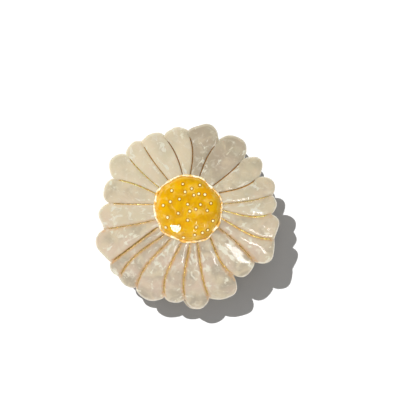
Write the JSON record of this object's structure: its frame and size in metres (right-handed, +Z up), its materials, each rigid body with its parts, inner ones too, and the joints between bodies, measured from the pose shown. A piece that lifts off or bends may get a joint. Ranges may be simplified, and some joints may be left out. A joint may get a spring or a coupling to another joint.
{
  "type": "flower hair claw clip",
  "caption": "Daisy-shaped hair claw: facing flower jaws with domed centres, hinged on a pin and closed by a torsion spring.",
  "frame": {"origin": "centre of the bounding box in X and Y, on the surface the clip lies on", "axes": "+Z up through the front flower, +Y towards the petals the fingers press, -Y towards the petals that are the teeth, +X to the right as seen from the front"},
  "size_m": [0.0824, 0.085, 0.0449],
  "materials": {
    "acetate": "polished pearl, slightly translucent",
    "yellow_resin": "polished, slightly translucent",
    "gilt": "bright gilding",
    "steel": "plated stamping",
    "spring_steel": "drawn wire"
  },
  "bodies": {
    "back_jaw": {"back_flower": "acetate", "back_centre": "yellow_resin", "back_gilt_ring": "gilt", "back_gilt_dots": "gilt", "back_gilt_lines": "gilt", "back_hinge_leaf": "steel", "back_rivets": "steel", "hinge_pin": "steel", "torsion_spring": "spring_steel"},
    "front_jaw": {"front_flower": "acetate", "front_centre": "yellow_resin", "front_gilt_ring": "gilt", "front_gilt_dots": "gilt", "front_gilt_lines": "gilt", "front_hinge_leaf": "steel", "front_rivets": "steel"}
  },
  "joints": [
    {"name": "jaw_hinge", "type": "hinge", "parent": "back_jaw", "child": "front_jaw", "pos_m": [0.00045, 0.01194, 0.02242], "axis": [-1, 0, 0], "range_deg": [0, 42], "stiffness_Nm_per_rad": 0.24, "springref_deg": -22.92, "deforming": ["torsion_spring"]}
  ]
}
